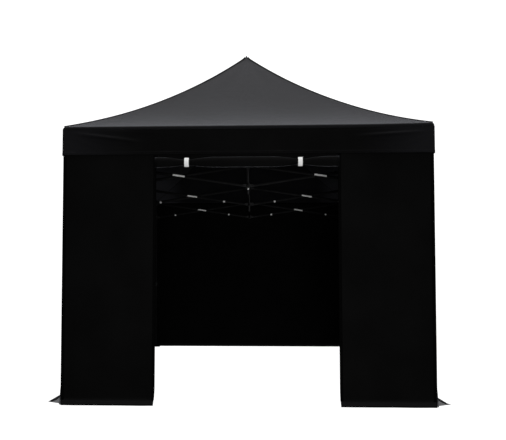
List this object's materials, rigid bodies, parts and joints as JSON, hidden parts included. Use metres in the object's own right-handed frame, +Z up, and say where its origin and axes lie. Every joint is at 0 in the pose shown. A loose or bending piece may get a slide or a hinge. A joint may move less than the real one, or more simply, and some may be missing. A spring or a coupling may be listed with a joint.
{
  "type": "pop-up party tent with zipped walls",
  "caption": "Black folding party tent with a hipped two-mast roof, valance, closed side walls and a rolled-up front door.",
  "frame": {"origin": "on the ground under the middle of the tent's plan, midway between the four legs", "axes": "+Z up; the door faces -Y; +X is on the right of someone who walks in"},
  "size_m": [3.3, 4.5679, 3.4],
  "materials": {
    "roof_cloth": "woven polyester, satin coating",
    "wall_cloth": "woven polyester, matte",
    "strap_webbing": "white webbing",
    "coated_steel": "black powder coat",
    "black_nylon": "moulded, fine texture"
  },
  "bodies": {
    "root": {"cross_truss_front_left": "coated_steel", "cross_truss_front_right": "coated_steel", "cross_truss_rear_left": "coated_steel", "cross_truss_rear_right": "coated_steel", "door_roll": "wall_cloth", "door_strap_left": "strap_webbing", "door_strap_right": "strap_webbing", "front_truss": "coated_steel", "front_wall_left": "wall_cloth", "front_wall_right": "wall_cloth", "left_truss": "coated_steel", "left_wall": "wall_cloth", "leg_lower_front_left": "coated_steel", "leg_lower_front_right": "coated_steel", "leg_lower_rear_left": "coated_steel", "leg_lower_rear_right": "coated_steel", "leg_upper_front_left": "coated_steel", "leg_upper_front_right": "coated_steel", "leg_upper_rear_left": "coated_steel", "leg_upper_rear_right": "coated_steel", "mast_front": "coated_steel", "mast_hub_lower_front": "black_nylon", "mast_hub_lower_rear": "black_nylon", "mast_hub_upper_front": "black_nylon", "mast_hub_upper_rear": "black_nylon", "mast_rear": "coated_steel", "rear_truss": "coated_steel", "rear_wall": "wall_cloth", "ridge_truss_front": "coated_steel", "ridge_truss_middle": "coated_steel", "ridge_truss_rear": "coated_steel", "right_truss": "coated_steel", "right_wall": "wall_cloth", "roof_front": "roof_cloth", "roof_left": "roof_cloth", "roof_rear": "roof_cloth", "roof_right": "roof_cloth", "slider_front_left": "black_nylon", "slider_front_right": "black_nylon", "slider_rear_left": "black_nylon", "slider_rear_right": "black_nylon", "top_bracket_front_left": "black_nylon", "top_bracket_front_right": "black_nylon", "top_bracket_rear_left": "black_nylon", "top_bracket_rear_right": "black_nylon", "valance_front": "wall_cloth", "valance_left": "wall_cloth", "valance_rear": "wall_cloth", "valance_right": "wall_cloth"}
  },
  "joints": []
}
